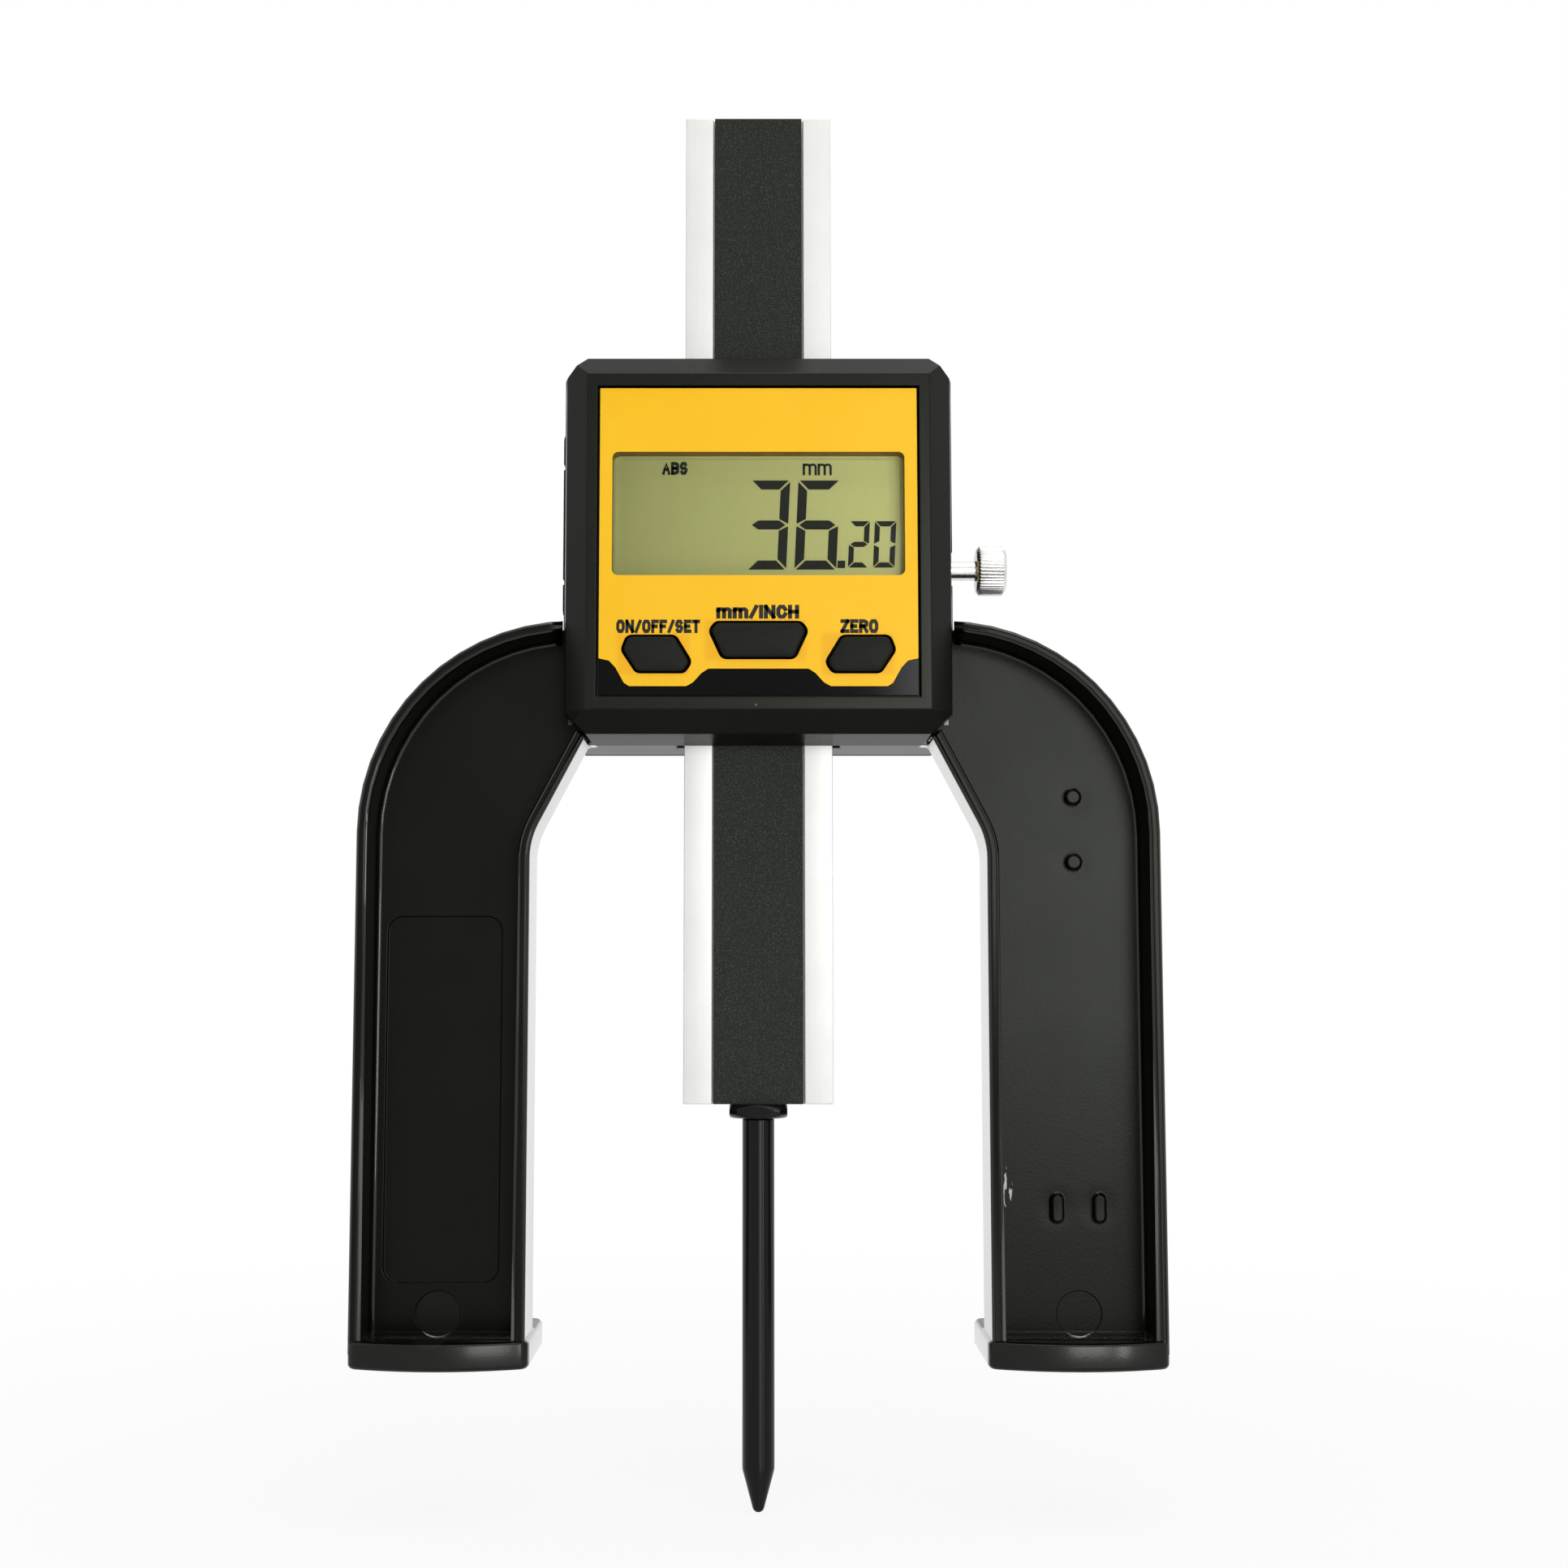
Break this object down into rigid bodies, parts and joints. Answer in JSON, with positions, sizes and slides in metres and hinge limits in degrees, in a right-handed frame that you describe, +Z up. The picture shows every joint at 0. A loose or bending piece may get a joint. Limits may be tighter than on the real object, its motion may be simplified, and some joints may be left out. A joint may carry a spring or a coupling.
{
  "type": "digital depth gauge",
  "caption": "Digital depth gauge on an arched stand: a rail with a probe slides through a display head, a side thumbscrew locks it, magnetic feet bridge the work.",
  "frame": {"origin": "tip of the probe, in the middle of the bounding box's bottom, on the rail's middle plane", "axes": "+Z up along the rail, +X to the right of someone facing the display, the display faces -Y"},
  "size_m": [0.105, 0.025, 0.1878],
  "materials": {
    "black_abs": "satin moulded black ABS",
    "gloss_black": "polished black plastic panel",
    "yellow_film": "printed yellow film",
    "clear_lens": "clear acrylic window",
    "lcd_glass": "olive reflective LCD",
    "grey_rubber": "layered conductive elastomer",
    "black_rubber": "matt silicone rubber",
    "green_board": "green solder resist",
    "chip_resin": "black moulded resin",
    "steel": "plain steel",
    "nickel_plate": "bright nickel plate",
    "brass": "turned brass",
    "satin_aluminium": "satin anodised aluminium",
    "scale_laminate": "dark film over the scale's copper grid",
    "black_oxide": "polished black oxide on steel",
    "white_acetal": "white acetal"
  },
  "bodies": {
    "stand": {"arch_frame": "black_abs", "front_cover": "black_abs", "rear_cover": "black_abs", "face_plate": "gloss_black", "face_label": "yellow_film", "display_lens": "clear_lens", "lcd_panel": "lcd_glass", "zebra_strip_lower": "grey_rubber", "zebra_strip_upper": "grey_rubber", "circuit_board": "green_board", "board_chip": "chip_resin", "board_crystal": "steel", "board_screw_1": "steel", "board_screw_2": "steel", "board_screw_3": "steel", "board_screw_4": "steel", "snap_dome_left": "steel", "snap_dome_center": "steel", "snap_dome_right": "steel", "guide_left": "white_acetal", "guide_right_lower": "white_acetal", "guide_right_upper": "white_acetal", "screw_insert": "brass", "battery_contact": "brass", "case_screw_1": "steel", "case_screw_2": "steel", "case_screw_3": "steel", "case_screw_4": "steel", "foot_magnet_1": "nickel_plate", "foot_magnet_2": "nickel_plate", "foot_magnet_3": "nickel_plate", "foot_magnet_4": "nickel_plate"},
    "rail": {"rail_beam": "satin_aluminium", "scale_strip": "scale_laminate", "probe_nut": "black_oxide", "probe": "black_oxide", "stop_screw_left": "steel", "stop_screw_right": "steel"},
    "lock_shoe": {"lock_pad": "brass"},
    "thumbscrew": {"lock_screw": "nickel_plate"},
    "key_left": {"button_left": "black_rubber"},
    "key_center": {"button_center": "black_rubber"},
    "key_right": {"button_right": "black_rubber"},
    "drawer": {"battery_drawer": "black_abs", "coin_cell": "steel"}
  },
  "joints": [
    {"name": "rail_slide", "type": "slide", "parent": "stand", "child": "rail", "axis": [0, 0, 1], "range_m": [-0.0316, 0.0476]},
    {"name": "lock_pad_slide", "type": "slide", "parent": "stand", "child": "lock_shoe", "axis": [1, 0, 0], "range_m": [-0.00025, 0.0015]},
    {"name": "lock_screw_turn", "type": "hinge", "parent": "lock_shoe", "child": "thumbscrew", "pos_m": [0.026, 0, 0.12465], "axis": [1, 0, 0], "range_deg": [-181, 1081]},
    {"name": "button_left_press", "type": "slide", "parent": "stand", "child": "key_left", "axis": [0, 1, 0], "range_m": [0, 0.0006], "stiffness_N_per_m": 800, "springref_m": -0.0005},
    {"name": "button_center_press", "type": "slide", "parent": "stand", "child": "key_center", "axis": [0, 1, 0], "range_m": [0, 0.0006], "stiffness_N_per_m": 800, "springref_m": -0.0005},
    {"name": "button_right_press", "type": "slide", "parent": "stand", "child": "key_right", "axis": [0, 1, 0], "range_m": [0, 0.0006], "stiffness_N_per_m": 800, "springref_m": -0.0005},
    {"name": "battery_drawer_slide", "type": "slide", "parent": "stand", "child": "drawer", "axis": [-1, 0, 0], "range_m": [0, 0.024]}
  ],
  "couplings": [
    {"joint": "lock_screw_turn", "follows": "lock_pad_slide", "rad_per_m": 12566}
  ]
}
